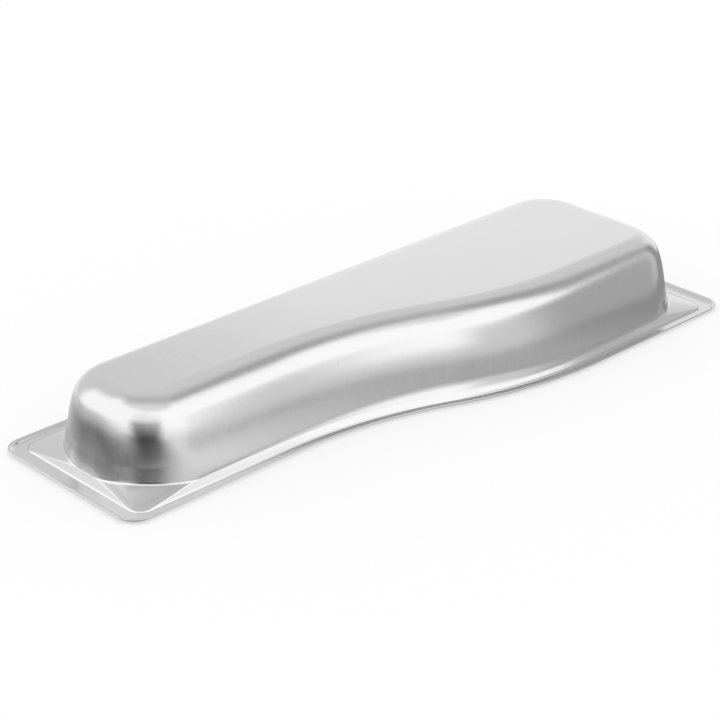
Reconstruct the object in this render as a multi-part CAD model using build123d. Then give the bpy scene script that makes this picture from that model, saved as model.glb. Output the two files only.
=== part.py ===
from build123d import *

import os
from math import acos, atan2, cos, degrees, radians, sin, tan

# A one-piece drawn stainless-steel food pan for a display counter, lying upside down on its rim.
# One long side is straight and the other is a gentle S, so that a second pan turned by 180 degrees
# fills the rest of the opening. Millimetres, +Z up. The origin is on the resting plane, at the middle
# of the rim's box. The narrow end is at -X, the wide end at +X and the straight side at +Y.

# Rim, seen from above
pan_length = 527.0  # over the rim, along X
narrow_end = 138.0  # width over the rim at the -X end
wide_end = 186.5  # width over the rim at the +X end
s_radius = 330.0  # both arcs of the S side, at the rim's edge
rim_corner_radius = 15.0  # outer corners of the rim

# Section of the sheet, from the rim's edge inwards
sheet = 0.8  # thickness all over
lip_height = 2.9  # resting plane to the turned edge
lip_angle = 45.0  # degrees that the edge is turned out of the flange
flange_width = 11.7  # rim's edge to the foot of the shoulder
foot_corner_radius = 10.0  # corners of the shoulder's foot
shoulder_run = 4.7  # shoulder's foot to the wall in plan, along the sides
shoulder_rise = 4.1  # shoulder's foot to the wall in height
wall_corner_radius = 39.5  # corners of the wall where it leaves the shoulder
draft_angle = 13.0  # degrees that the wall leans inwards
base_corner_radius = 31.5  # corners of the wall where it would meet the base plane
base_edge_radius = 20.0  # rounding between wall and base, outside
pan_height = 59.0  # resting plane to the outside of the base

# The S side: two arcs that meet half way along the pan, at the same slope
straight_side_y = wide_end / 2
narrow_side_y = straight_side_y - narrow_end
wide_side_y = -wide_end / 2
s_turn = degrees(acos(1 - (wide_end - narrow_end) / (2 * s_radius)))
s_reach = s_radius * sin(radians(s_turn))


def outline(inset, corner_radius, height):
    """The rim's outline moved inwards by inset, as a level face with its own corner radius."""
    left, right = inset - pan_length / 2, pan_length / 2 - inset
    far = straight_side_y - inset
    narrow, wide = narrow_side_y + inset, wide_side_y + inset
    r = corner_radius
    narrow_bend = CenterArc((-s_reach, narrow_side_y - s_radius), s_radius + inset, 90, -s_turn)
    wide_bend = CenterArc((s_reach, wide_side_y + s_radius), s_radius - inset, -90 - s_turn, s_turn)
    edges = [
        Line((left + r, far), (right - r, far)),
        CenterArc((right - r, far - r), r, 90, -90),
        Line((right, far - r), (right, wide + r)),
        CenterArc((right - r, wide + r), r, 0, -90),
        Line((right - r, wide), (s_reach, wide)),
        wide_bend,
        narrow_bend,
        Line((-s_reach, narrow), (left + r, narrow)),
        CenterArc((left + r, narrow + r), r, -90, -90),
        Line((left, narrow + r), (left, far - r)),
        CenterArc((left + r, far - r), r, 180, -90),
    ]
    return Pos(0, 0, height) * make_face(edges)


def skin(depth):
    """Section corners of the sheet's skin that lies depth below its upper side: inset and height."""
    shoulder_angle = degrees(atan2(shoulder_rise, shoulder_run))
    wall_angle = 90 - draft_angle
    foot = (flange_width, sheet)
    head = (flange_width + shoulder_run, sheet + shoulder_rise)
    top = (head[0] + (pan_height - head[1]) * tan(radians(draft_angle)), pan_height)

    def sunk(corner, angle_before, angle_after):
        first = (sin(radians(angle_before)), -cos(radians(angle_before)))
        second = (sin(radians(angle_after)), -cos(radians(angle_after)))
        reach = depth / (1 + first[0] * second[0] + first[1] * second[1])
        return corner[0] + reach * (first[0] + second[0]), corner[1] + reach * (first[1] + second[1])

    return (
        sunk(foot, 0, shoulder_angle),
        sunk(head, shoulder_angle, wall_angle),
        sunk(top, wall_angle, 0),
    )


def drawn_body(depth, mouth):
    """The solid inside the skin at that depth: shoulder, wall and rounded base, open side at mouth."""
    corners = skin(depth)
    radii = [
        radius - (corner[0] - outer[0])
        for radius, corner, outer in zip(
            (foot_corner_radius, wall_corner_radius, base_corner_radius), corners, skin(0)
        )
    ]
    levels = [outline(corner[0], radius, corner[1]) for radius, corner in zip(radii, corners)]
    if mouth < corners[0][1]:
        levels.insert(0, outline(corners[0][0], radii[0], mouth))
    body = loft(levels, ruled=True)
    rounding = base_edge_radius - depth
    return fillet(body.faces().sort_by(Axis.Z)[-1].edges(), rounding)


def lip_inset(height):
    """Inset of the lip's outer side at a height: it leans outwards up to the rim's edge."""
    return (lip_height - height) / tan(radians(lip_angle))


def rim_tray():
    """The flange with its turned lip, as a shallow tray under the whole pan."""
    lip_width = sheet / sin(radians(lip_angle))
    above = lip_height + sheet
    tray = loft(
        [outline(lip_inset(z), rim_corner_radius - lip_inset(z), z) for z in (0, lip_height)],
        ruled=True,
    )
    insets = {z: lip_inset(z) + lip_width for z in (sheet, above)}
    hollow = loft([outline(i, rim_corner_radius - i, z) for z, i in insets.items()], ruled=True)
    return tray - hollow


below = -lip_height
pan = rim_tray() + drawn_body(0, sheet) - drawn_body(sheet, below)
pan.label = "pan"

os.makedirs("parts", exist_ok=True)
export_step(pan, "parts/pan.step")
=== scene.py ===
from math import acos, cos, pi, radians, sin, sqrt

import bpy
import numpy as np
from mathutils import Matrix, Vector


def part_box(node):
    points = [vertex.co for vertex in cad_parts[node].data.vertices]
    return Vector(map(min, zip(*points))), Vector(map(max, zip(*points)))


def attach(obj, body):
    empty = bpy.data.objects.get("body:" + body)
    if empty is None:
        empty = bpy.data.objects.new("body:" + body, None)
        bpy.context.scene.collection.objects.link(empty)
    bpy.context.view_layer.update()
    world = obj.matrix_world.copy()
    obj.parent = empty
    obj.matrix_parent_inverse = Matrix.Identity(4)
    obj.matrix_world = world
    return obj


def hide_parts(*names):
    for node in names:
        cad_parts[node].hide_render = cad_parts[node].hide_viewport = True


# A drawn stainless-steel food pan, upside down on its rim: one sheet, modelled with both its skins.
# The narrow end is at -X, the straight side at +Y and the S-shaped side at -Y.
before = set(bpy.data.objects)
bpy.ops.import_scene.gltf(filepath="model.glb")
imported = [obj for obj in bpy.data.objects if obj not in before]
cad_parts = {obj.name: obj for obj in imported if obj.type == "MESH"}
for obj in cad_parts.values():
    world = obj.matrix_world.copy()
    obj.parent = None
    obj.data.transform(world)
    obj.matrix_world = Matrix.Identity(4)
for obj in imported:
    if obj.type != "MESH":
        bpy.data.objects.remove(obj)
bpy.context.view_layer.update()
MM = 0.001

# ---------------------------------------------------------------- the pan's sizes, in millimetres
low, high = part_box("pan")
PAN_LENGTH = (high.x - low.x) / MM
WIDE_END = (high.y - low.y) / MM
PAN_HEIGHT = (high.z - low.z) / MM
NARROW_END = 138.0
S_RADIUS = 330.0  # both arcs of the S side, at the rim's edge
RIM_CORNER_RADIUS = 15.0

# The sheet's section, from the rim's edge inwards. A name with SIDE is for the two long sides, where they
# differ from the two ends.
SHEET = 0.8
LIP_HEIGHT = 2.9
LIP_WIDTH = SHEET / sin(radians(45.0))  # across the lip's cut edge: the lip leans out by 45 degrees
FLANGE_WIDTH, SIDE_FLANGE = 12.0, 8.3  # with the lip, up to the shoulder's foot
FOOT_CORNER_RADIUS = 10.0
KERB_RUN, KERB_RISE = 0.6, 1.1  # the shoulder starts with a small steep step
SHOULDER_RUN, SIDE_SHOULDER_RUN = 6.0, 4.7
SHOULDER_RISE = 4.1
WALL_CORNER_RADIUS = 39.5  # at the wall's foot
BAND_TOP = 18.0  # at the two ends a soft fold tells the band below it from the wall above it
WALL_BELLY = 34.0  # the wall's lean grows slowly up to here, and faster above it
# The wall's lean at its foot, under and over the band's fold, at the belly, and where its turn starts.
END_LEAN = np.radians((12.5, 10.8, 8.5, 10.5, 19.0))
SIDE_LEAN = np.radians((9.0, 10.5, 10.5, 17.0, 28.0))
BASE_EDGE_RADIUS = 20.0  # at the two ends: the long sides turn over the same height, from their own lean
TURN_START = PAN_HEIGHT - BASE_EDGE_RADIUS * (1 - sin(END_LEAN[-1]))  # here the wall turns into the base
BASE_CORNER_RADIUS = 19.0  # of the flat base

# The bend from shoulder to wall: how much higher it lies, and how far it reaches along both its legs.
CORNER_LIFT, CORNER_REACH = 2.0, 1.2  # in the four corners
BLEND_LIFT, BLEND_REACH = 2.5, 5.6  # along the S side, where the shoulder runs softly into the wall
PLAIN_REACH = 0.3  # everywhere else
LIP_REACH, FOOT_REACH = 1.0, 0.5  # the bends at the lip's foot, and at the kerb's foot and top
FOLD_REACH, SIDE_FOLD_REACH = 0.4, 4.5  # of the fold, below and above BAND_TOP: plain, and on the S side

# How finely the skins are divided.
CORNER_STEPS, SIDE_STEPS, BEND_STEPS = 28, 24, 48  # round a corner, along a straight, along an S arc
LONG_STEPS = 4 * SIDE_STEPS  # along the straight long side
LIP_STEPS, FOOT_STEPS, SHOULDER_STEPS = 9, 7, 14  # stations in each bend
BAND_STEPS, FOLD_STEPS, WALL_STEPS, TURN_STEPS = 6, 6, 15, 22  # up the wall
WALL_SLICE = 0.1  # height of the slices in which the wall's lean is summed

# The S side: two arcs that meet half way along, at the same slope.
STRAIGHT_Y = WIDE_END / 2
NARROW_Y = STRAIGHT_Y - NARROW_END
WIDE_Y = -WIDE_END / 2
S_TURN = acos(1 - (WIDE_END - NARROW_END) / (2 * S_RADIUS))
S_REACH = S_RADIUS * sin(S_TURN)


def arc(centre, radius, start, turn, steps):
    """Points on an arc without its last one, so that the next stretch can start there."""
    angles = start + turn * np.arange(steps) / steps
    return np.column_stack([centre[0] + radius * np.cos(angles), centre[1] + radius * np.sin(angles)])


def run(start, end, steps):
    """Evenly spaced points on a straight stretch without its last one."""
    share = (np.arange(steps) / steps)[:, None]
    return np.array(start) * (1 - share) + np.array(end) * share


def ring(end_inset, side_inset, height, radius):
    """The rim's outline moved inwards at its ends and sides, with that corner radius: a closed ring."""
    left, right = end_inset - PAN_LENGTH / 2, PAN_LENGTH / 2 - end_inset
    far, narrow, wide = STRAIGHT_Y - side_inset, NARROW_Y + side_inset, WIDE_Y + side_inset
    quarter = pi / 2
    plan = np.vstack([
        run((left + radius, far), (right - radius, far), LONG_STEPS),
        arc((right - radius, far - radius), radius, quarter, -quarter, CORNER_STEPS),
        run((right, far - radius), (right, wide + radius), SIDE_STEPS),
        arc((right - radius, wide + radius), radius, 0, -quarter, CORNER_STEPS),
        run((right - radius, wide), (S_REACH, wide), SIDE_STEPS),
        arc((S_REACH, WIDE_Y + S_RADIUS), S_RADIUS - side_inset, -quarter, -S_TURN, BEND_STEPS),
        arc((-S_REACH, NARROW_Y - S_RADIUS), S_RADIUS + side_inset, quarter - S_TURN, S_TURN, BEND_STEPS),
        run((-S_REACH, narrow), (left + radius, narrow), SIDE_STEPS),
        arc((left + radius, narrow + radius), radius, -quarter, -quarter, CORNER_STEPS),
        run((left, narrow + radius), (left, far - radius), SIDE_STEPS),
        arc((left + radius, far - radius), radius, pi, -quarter, CORNER_STEPS),
    ])
    return np.column_stack([plan, np.full(len(plan), height)])


def ring_weights():
    """How far each point of a ring is inside a corner, and along the S side, both from 0 to 1."""
    corner = np.sin(pi * np.arange(CORNER_STEPS) / CORNER_STEPS)
    s_count = 2 * SIDE_STEPS + 2 * BEND_STEPS
    s_side = np.sin(pi * np.arange(s_count) / s_count) ** 2
    counts = LONG_STEPS, SIDE_STEPS, s_count, CORNER_STEPS
    long_side, end, no_s, no_corner = (np.zeros(count) for count in counts)
    corners = np.concatenate([long_side, corner, end, corner, no_s, corner, end, corner])
    side = np.concatenate([long_side, no_corner, end, no_corner, s_side, no_corner, end, no_corner])
    return corners[:, None], side[:, None]


def bend(before, corner, after, reach, steps):
    """Stations that round a corner of the section, leaving it by that reach along both its legs."""
    before, corner, after = (np.array(p, float) for p in (before, corner, after))
    start = corner + (before - corner) * reach / np.linalg.norm((before - corner)[[0, 2]])
    end = corner + (after - corner) * reach / np.linalg.norm((after - corner)[[0, 2]])
    t = np.linspace(0, 1, steps)[:, None]
    return (1 - t) ** 2 * start + 2 * t * (1 - t) * corner + t ** 2 * end


def wall_insets(foot_inset, lean, knots, heights, turn_heights):
    """Insets of one wall: its lean runs from knot to knot, and then an arc turns it into the base."""
    leans = np.interp(heights, knots, lean)
    insets = foot_inset + WALL_SLICE * (np.cumsum(np.tan(leans)) - np.tan(leans) / 2)
    radius = (PAN_HEIGHT - turn_heights[0]) / (1 - sin(lean[-1]))
    turn = np.arcsin(1 - (PAN_HEIGHT - turn_heights) / radius)
    return np.concatenate([insets, insets[-1] + radius * (cos(lean[-1]) - np.cos(turn[1:]))])


def wall_body(fold_reach):
    """Stations of the wall in fine slices, from its foot to the flat base."""
    wall_foot = SHEET + SHOULDER_RISE
    turn = np.linspace(END_LEAN[-1], pi / 2, TURN_STEPS)
    turn_heights = PAN_HEIGHT - BASE_EDGE_RADIUS * (1 - np.sin(turn))
    knots = (wall_foot, BAND_TOP - fold_reach, BAND_TOP + fold_reach, WALL_BELLY, TURN_START)
    heights = np.arange(wall_foot, TURN_START, WALL_SLICE)
    ends = wall_insets(FLANGE_WIDTH + SHOULDER_RUN, END_LEAN, knots, heights, turn_heights)
    sides = wall_insets(SIDE_FLANGE + SIDE_SHOULDER_RUN, SIDE_LEAN, knots, heights, turn_heights)
    share = (ends - ends[0]) / (ends[-1] - ends[0])
    radii = WALL_CORNER_RADIUS + (BASE_CORNER_RADIUS - WALL_CORNER_RADIUS) * share
    # A wall further out along the sides would move the corner out too: a wider turn holds its diagonal.
    radii += (ends - sides) / (2 - sqrt(2))
    levels = np.concatenate([heights, turn_heights[1:]])
    return np.column_stack([ends, sides, levels, radii])


def section(lift, reach, fold_reach):
    """Stations of the outer skin, from the edge to the flat base: end inset, side inset, height, radius.

    The wall starts lift higher on its shoulder, the bend between them leaves its corner by reach, and the
    fold over the band is rounded over fold_reach above and below it.
    """
    drop = LIP_WIDTH + LIP_HEIGHT - SHEET
    edge = np.array((LIP_WIDTH, LIP_WIDTH, LIP_HEIGHT, RIM_CORNER_RADIUS - LIP_WIDTH))
    lip_foot = np.array((drop, drop, SHEET, RIM_CORNER_RADIUS - drop))
    foot = np.array((FLANGE_WIDTH, SIDE_FLANGE, SHEET, FOOT_CORNER_RADIUS))
    kerb = foot + (KERB_RUN, KERB_RUN, KERB_RISE, 0)
    body = wall_body(fold_reach)

    def on_wall(height):
        return np.array([np.interp(height, body[:, 2], column) for column in body.T])

    start = on_wall(SHEET + SHOULDER_RISE + lift)
    above = on_wall(SHEET + SHOULDER_RISE + lift + reach)
    band = np.linspace(above[2], BAND_TOP - fold_reach, BAND_STEPS + 1)[1:]
    fold = np.linspace(BAND_TOP - fold_reach, BAND_TOP + fold_reach, FOLD_STEPS + 1)[1:]
    wall = np.linspace(BAND_TOP + fold_reach, TURN_START, WALL_STEPS + 1)[1:-1]
    return np.vstack([
        [edge],
        bend(edge, lip_foot, foot, LIP_REACH, LIP_STEPS),
        bend(lip_foot, foot, kerb, FOOT_REACH, FOOT_STEPS),
        bend(foot, kerb, start, FOOT_REACH, FOOT_STEPS),
        bend(kerb, start, above, reach, SHOULDER_STEPS),
        [on_wall(height) for height in np.concatenate([band, fold, wall])],
        body[-TURN_STEPS:],
    ])


def outer_skin():
    """Rings of the outer skin: the plain section, lifted in the corners and blended along the S side."""
    corners, side = ring_weights()
    plain = section(0, PLAIN_REACH, FOLD_REACH)
    lifted = section(CORNER_LIFT, CORNER_REACH, FOLD_REACH)
    blended = section(BLEND_LIFT, BLEND_REACH, SIDE_FOLD_REACH)
    rings = []
    for plain_station, lifted_station, blended_station in zip(plain, lifted, blended):
        base = ring(*plain_station)
        lift = corners * (ring(*lifted_station) - base)
        blend = side * (ring(*blended_station) - base)
        rings.append(base + lift + blend)
    return np.array(rings)


def inner_skin(outer):
    """The same rings one sheet thickness further in, along the surface's own normals.

    The first ring is the rim's own outline, level with the outer skin's, so that the cut edge is flat.
    """
    along = np.roll(outer, -1, axis=1) - np.roll(outer, 1, axis=1)
    across = np.gradient(outer, axis=0)
    normal = np.cross(across, along)
    normal /= np.linalg.norm(normal, axis=2, keepdims=True)
    inner = outer - SHEET * normal
    inner[:, :, 2] = np.maximum(inner[:, :, 2], 0.0)
    inner[0, :, 2] = LIP_HEIGHT
    inner[0, :, :2] = ring(0.0, 0.0, LIP_HEIGHT, RIM_CORNER_RADIUS)[:, :2]
    return inner


def metres(points):
    return [tuple(p) for p in np.asarray(points) * MM]


def build_pan():
    """Both skins of the drawn sheet as one closed mesh, joined round the lip's cut edge."""
    outer = outer_skin()
    rings = np.concatenate([outer[::-1], inner_skin(outer)])
    count = rings.shape[1]
    faces = []
    for row in range(len(rings) - 1):
        for k in range(count):
            here, there = row * count, (row + 1) * count
            following = (k + 1) % count
            faces.append((here + k, here + following, there + following, there + k))
    last = (len(rings) - 1) * count
    faces.append(tuple(reversed(range(count))))  # the outside of the flat base
    faces.append(tuple(range(last, last + count)))  # and its inside
    mesh = bpy.data.meshes.new("pan_sheet")
    mesh.from_pydata(metres(rings.reshape(-1, 3)), [], faces)
    mesh.validate()
    mesh.shade_smooth()
    piece = bpy.data.objects.new("pan_sheet", mesh)
    bpy.context.scene.collection.objects.link(piece)
    return piece


# ---------------------------------------------------------------- materials
def linear(code):
    """An sRGB hex colour as linear RGBA."""
    values = [int(code[i:i + 2], 16) / 255 for i in (0, 2, 4)]
    return [v / 12.92 if v <= 0.04045 else ((v + 0.055) / 1.055) ** 2.4 for v in values] + [1.0]


def add_node(tree, kind, settings=None, links=None):
    """One node with its links and settings, which are attributes or input values, by name or number."""
    node = tree.nodes.new(kind)
    for name, value in (settings or {}).items():
        if isinstance(name, int) or name in node.inputs:
            node.inputs[name].default_value = value
        else:
            setattr(node, name, value)
    for name, output in (links or {}).items():
        tree.links.new(output, node.inputs[name])
    return node


# The satin finish, in millimetres. The real grain is about 0.1 across, and coarser here so that it shows.
GRAIN, DRAW_LINE, RIPPLE = 0.7, 2.2, 38.0
GRAIN_DEPTH, DRAW_DEPTH, RIPPLE_DEPTH = 0.002, 0.008, 0.12
DRAW_STRETCH = 0.05  # the draw lines are 20 times as long as they are wide
NOISE_DETAIL = 2.0
MOTTLE = (0.7, 1.3)  # the span that counts of grain and draw lines added together
SHINE = (0.17, 0.23)  # the roughness that it gives, from the shiniest spots to the dullest
STEEL_GREY, STEEL_PALE = "D8D8D8", "DEDEDE"


def satin_stainless():
    """Cold-drawn stainless sheet, satin finished after the press.

    To the eye it is a soft grey sheen that blurs what it mirrors, with a fine grain, faint upright lines
    where the sheet slid through the die, and a slight ripple in its larger faces.
    """
    material = bpy.data.materials.new("satin_stainless")
    material.use_nodes = True
    tree = material.node_tree
    tree.nodes.clear()
    place = add_node(tree, "ShaderNodeTexCoord").outputs["Object"]
    stretch = {"Scale": (1, 1, DRAW_STRETCH)}
    upright = add_node(tree, "ShaderNodeMapping", stretch, {"Vector": place}).outputs[0]
    noises = []
    for size, where in ((GRAIN, place), (DRAW_LINE, upright), (RIPPLE, place)):
        settings = {"Scale": 1 / (size * MM), "Detail": NOISE_DETAIL}
        noises.append(add_node(tree, "ShaderNodeTexNoise", settings, {"Vector": where}).outputs[0])
    grain, lines, ripple = noises
    mottle = add_node(tree, "ShaderNodeMath", {"operation": "ADD"}, {0: grain, 1: lines}).outputs[0]
    span = {"From Min": MOTTLE[0], "From Max": MOTTLE[1], "To Min": SHINE[0], "To Max": SHINE[1]}
    shine = add_node(tree, "ShaderNodeMapRange", span, {"Value": mottle}).outputs[0]
    greys = {"Color1": linear(STEEL_GREY), "Color2": linear(STEEL_PALE)}
    tone = add_node(tree, "ShaderNodeMixRGB", greys, {"Fac": lines}).outputs[0]
    surface = None
    for height, depth in ((ripple, RIPPLE_DEPTH), (lines, DRAW_DEPTH), (grain, GRAIN_DEPTH)):
        links = {"Height": height} if surface is None else {"Height": height, "Normal": surface}
        surface = add_node(tree, "ShaderNodeBump", {"Distance": depth * MM}, links).outputs[0]
    looks = {"Base Color": tone, "Roughness": shine, "Normal": surface}
    shader = add_node(tree, "ShaderNodeBsdfPrincipled", {"Metallic": 1.0}, looks)
    add_node(tree, "ShaderNodeOutputMaterial", {}, {"Surface": shader.outputs["BSDF"]})
    return material


pan = build_pan()
pan.data.materials.append(satin_stainless())
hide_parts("pan")
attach(pan, "root")


# ---------------------------------------------------------------- the stage: floor, cards and light
PAPER = "C8C8C8"
WHITE = linear("FFFFFF")


def staged(name, points, faces, material):
    """A stage mesh in metres, which is no part of the pan."""
    mesh = bpy.data.meshes.new(name)
    mesh.from_pydata([tuple(p) for p in points], [], faces)
    mesh.materials.append(material)
    piece = bpy.data.objects.new(name, mesh)
    bpy.context.scene.collection.objects.link(piece)
    return piece


def white_paper():
    """Matt white paper. Its glow only brings open paper up to full white, so the pan's shadow stays."""
    material = bpy.data.materials.new("white_paper")
    material.use_nodes = True
    material.cycles.emission_sampling = "NONE"
    tree = material.node_tree
    tree.nodes.clear()
    paper = linear(PAPER)
    rays = add_node(tree, "ShaderNodeLightPath").outputs
    seen = rays["Is Camera Ray"]
    for kind in ("Is Glossy Ray", "Is Transmission Ray"):
        either = add_node(tree, "ShaderNodeMath", {"operation": "MAXIMUM"}, {0: seen, 1: rays[kind]})
        seen = either.outputs[0]
    share = {"operation": "MULTIPLY", 1: 1 - paper[0]}
    glow = add_node(tree, "ShaderNodeMath", share, {0: seen}).outputs[0]
    diffuse = add_node(tree, "ShaderNodeBsdfDiffuse", {"Color": paper}).outputs[0]
    emission = add_node(tree, "ShaderNodeEmission", {"Color": WHITE}, {"Strength": glow}).outputs[0]
    both = add_node(tree, "ShaderNodeAddShader", {}, {0: diffuse, 1: emission}).outputs[0]
    add_node(tree, "ShaderNodeOutputMaterial", {}, {"Surface": both})
    return material


def card_material(brightness):
    """An evenly lit card that thins out to nothing where its cover is 0."""
    material = bpy.data.materials.new(f"card_{round(100 * brightness)}")
    material.use_nodes = True
    material.cycles.emission_sampling = "NONE"
    tree = material.node_tree
    tree.nodes.clear()
    cover = add_node(tree, "ShaderNodeAttribute", {"attribute_name": "cover"}).outputs["Fac"]
    clear = add_node(tree, "ShaderNodeBsdfTransparent").outputs[0]
    glow = add_node(tree, "ShaderNodeEmission", {"Color": WHITE, "Strength": brightness}).outputs[0]
    soft = add_node(tree, "ShaderNodeMixShader", {}, {0: cover, 1: clear, 2: glow}).outputs[0]
    add_node(tree, "ShaderNodeOutputMaterial", {}, {"Surface": soft})
    return material


def card(name, points, cover, brightness):
    """A grid of points as a card. The metal mirrors it; camera, floor and light pass it by."""
    rows, columns = cover.shape
    faces = []
    for row in range(rows - 1):
        for column in range(columns - 1):
            k = row * columns + column
            faces.append((k, k + 1, k + columns + 1, k + columns))
    piece = staged(name, points, faces, card_material(brightness))
    piece.data.attributes.new("cover", "FLOAT", "POINT").data.foreach_set("value", cover.ravel())
    piece.visible_camera = False
    piece.visible_diffuse = False
    piece.visible_transmission = False
    piece.visible_shadow = False


STANDING_STEP, SWEEP_STEP = 1.0, 2.0  # degrees between the points of a curved card
LYING_STEP = 20.0  # millimetres between the points of a card on the floor


def spread(span, soft, step):
    """Places across a card from edge to edge, and its cover there: 0 at an edge, 1 from soft inside it."""
    places = np.linspace(*span, max(2, round((span[1] - span[0]) / step)) + 1)
    if soft == 0:
        return places, np.ones(len(places))
    return places, np.clip(np.minimum(places - span[0], span[1] - places) / soft, 0, 1)


def standing_card(name, azimuths, elevations, brightness, distance, soft):
    """A curved card that stands round the pan between two azimuths and two elevations, in degrees."""
    across, cover_across = spread(azimuths, soft[0], STANDING_STEP)
    upward, cover_upward = spread(elevations, soft[1], STANDING_STEP)
    azimuth, elevation = np.meshgrid(np.radians(across), np.radians(upward))
    x, y, z = np.cos(elevation) * np.cos(azimuth), np.cos(elevation) * np.sin(azimuth), np.sin(elevation)
    points = distance * np.stack([x, y, z], axis=-1)
    card(name, points.reshape(-1, 3), np.minimum.outer(cover_upward, cover_across), brightness)


def overhead_card(name, leans, sweeps, brightness, distance, soft):
    """A curved strip over the pan, in degrees: leans tip it backwards, sweeps run from right to left."""
    backwards, cover_backwards = spread(leans, soft[0], STANDING_STEP)
    across, cover_across = spread(sweeps, soft[1], SWEEP_STEP)
    sweep, lean = np.meshgrid(np.radians(across), np.radians(backwards))
    right, back, up = np.cos(lean) * np.cos(sweep), np.sin(lean), np.cos(lean) * np.sin(sweep)
    points = distance * np.stack([(back + right) * sqrt(0.5), (back - right) * sqrt(0.5), up], axis=-1)
    card(name, points.reshape(-1, 3), np.minimum.outer(cover_backwards, cover_across), brightness)


def lying_card(name, along, across, brightness, height, soft):
    """A card on the floor between two places along X and two along Y, in millimetres."""
    x_places, x_cover = spread(along, soft[0], LYING_STEP)
    y_places, y_cover = spread(across, soft[1], LYING_STEP)
    x, y = np.meshgrid(x_places, y_places)
    points = np.stack([x, y, np.full(x.shape, height)], axis=-1)
    card(name, metres(points.reshape(-1, 3)), np.minimum.outer(y_cover, x_cover), brightness)


FLOOR_REACH = 4.0  # metres to each side
floor_corners = [(FLOOR_REACH * x, FLOOR_REACH * y, 0) for x, y in ((-1, -1), (1, -1), (1, 1), (-1, 1))]
staged("studio_floor", floor_corners, [(0, 1, 2, 3)], white_paper())

# Standing cards: azimuths and elevations in degrees, brightness (1 is full white), distance in metres and
# the widths of the soft edges in degrees. The nearer ones lie over the edges of the further ones.
standing_card("wall_back", (-10, 130), (-6, 50), 1.05, 1.60, (4, 4))
standing_card("ceiling", (0, 360), (58, 90), 0.95, 1.58, (0, 4))
standing_card("softbox_left", (100, 222), (-8, 64), 1.30, 1.56, (10, 8))
standing_card("softbox_front", (216, 334), (-8, 62), 1.35, 1.55, (10, 6))
standing_card("low_left", (112, 216), (-18, 7), 0.80, 1.54, (12, 9))
standing_card("low_front", (226, 330), (-16, 14), 0.90, 1.54, (12, 12))
standing_card("camera_gap", (192, 256), (-24, 56), 1.00, 1.52, (16, 30))
standing_card("camera_stand", (192, 250), (-30, 28), 0.05, 1.50, (16, 24))
standing_card("flag_end", (340, 366), (-10, 40), 0.35, 1.48, (8, 8))
standing_card("flag_back_left", (50, 124), (-10, 58), 0.80, 1.52, (14, 8))
standing_card("low_near", (262, 345), (-14, 10), 0.70, 0.43, (12, 9))
standing_card("flag_near", (278, 345), (-14, 30), 0.80, 0.42, (7, 9))
standing_card("flag_near_right", (298, 345), (-14, 30), 0.50, 0.41, (14, 9))

# Cards overhead: the same, with leans and sweeps for azimuths and elevations.
overhead_card("seam_back", (8, 62), (30, 134), 0.80, 1.47, (8, 14))
overhead_card("seam_top", (-14, 30), (64, 122), 0.60, 1.46, (18, 12))
overhead_card("seam_right", (5, 32), (30, 76), 0.45, 1.45, (8, 10))

# Lying cards: places along X and Y, brightness, height and soft edges, with every length in millimetres.
# They are sheets darker than the paper that only the metal sees, so the floor looks darker in its
# reflections alone; near the pan they are painted shade standing for the pan's shadow on the floor.
# Each lies a little higher than the ones that it covers.
lying_card("floor_far_left", (-1500, -200), (-1500, 700), 0.60, 0.12, (150, 150))
# Painted shade: the pan's shadow on the floor past its narrow end, as the metal mirrors it.
lying_card("floor_shade_left", (-540, -150), (-420, 250), 0.10, 0.15, (210, 150))
lying_card("floor_corner", (-1500, -290), (-1500, -90), 0.05, 0.25, (180, 100))
# Painted shade: the floor darker in front of the pan and to its right, as the metal mirrors it; near the
# pan it stands for the pan's shadow.
lying_card("floor_shade_right", (-170, 1500), (-800, 100), 0.50, 0.30, (180, 160))
lying_card("shade_right", (140, 1500), (-320, 60), 0.35, 0.35, (120, 80))

# Neither the world nor a card is sampled as a lamp: that light would pass through the cards.
world = bpy.data.worlds.new("studio")
bpy.context.scene.world = world
world.use_nodes = True
world.cycles.sampling_method = "NONE"
background = world.node_tree.nodes["Background"]
background.inputs["Color"].default_value = WHITE
background.inputs["Strength"].default_value = 1.0

CAMERA_MM = Vector((-947.5, -933.3, 669.0))
CAMERA_YAW, CAMERA_PITCH = 0.8217, 0.4596  # radians, from +X towards +Y, and down from the level
SENSOR_WIDTH, LENS = 36.0, 106.07  # millimetres
SHIFT_X, SHIFT_Y = 0.0805, -0.001  # as shares of the sensor's width
CLIP_END = 50.0  # metres
camera_data = bpy.data.cameras.new("camera")
camera_data.sensor_width = SENSOR_WIDTH
camera_data.lens = LENS
camera_data.shift_x = SHIFT_X
camera_data.shift_y = SHIFT_Y
camera_data.clip_end = CLIP_END
camera = bpy.data.objects.new("camera", camera_data)
bpy.context.scene.collection.objects.link(camera)
camera.location = CAMERA_MM * MM
camera.rotation_euler = (pi / 2 - CAMERA_PITCH, 0, CAMERA_YAW - pi / 2)
bpy.context.scene.camera = camera
bpy.context.scene.view_settings.view_transform = "Standard"
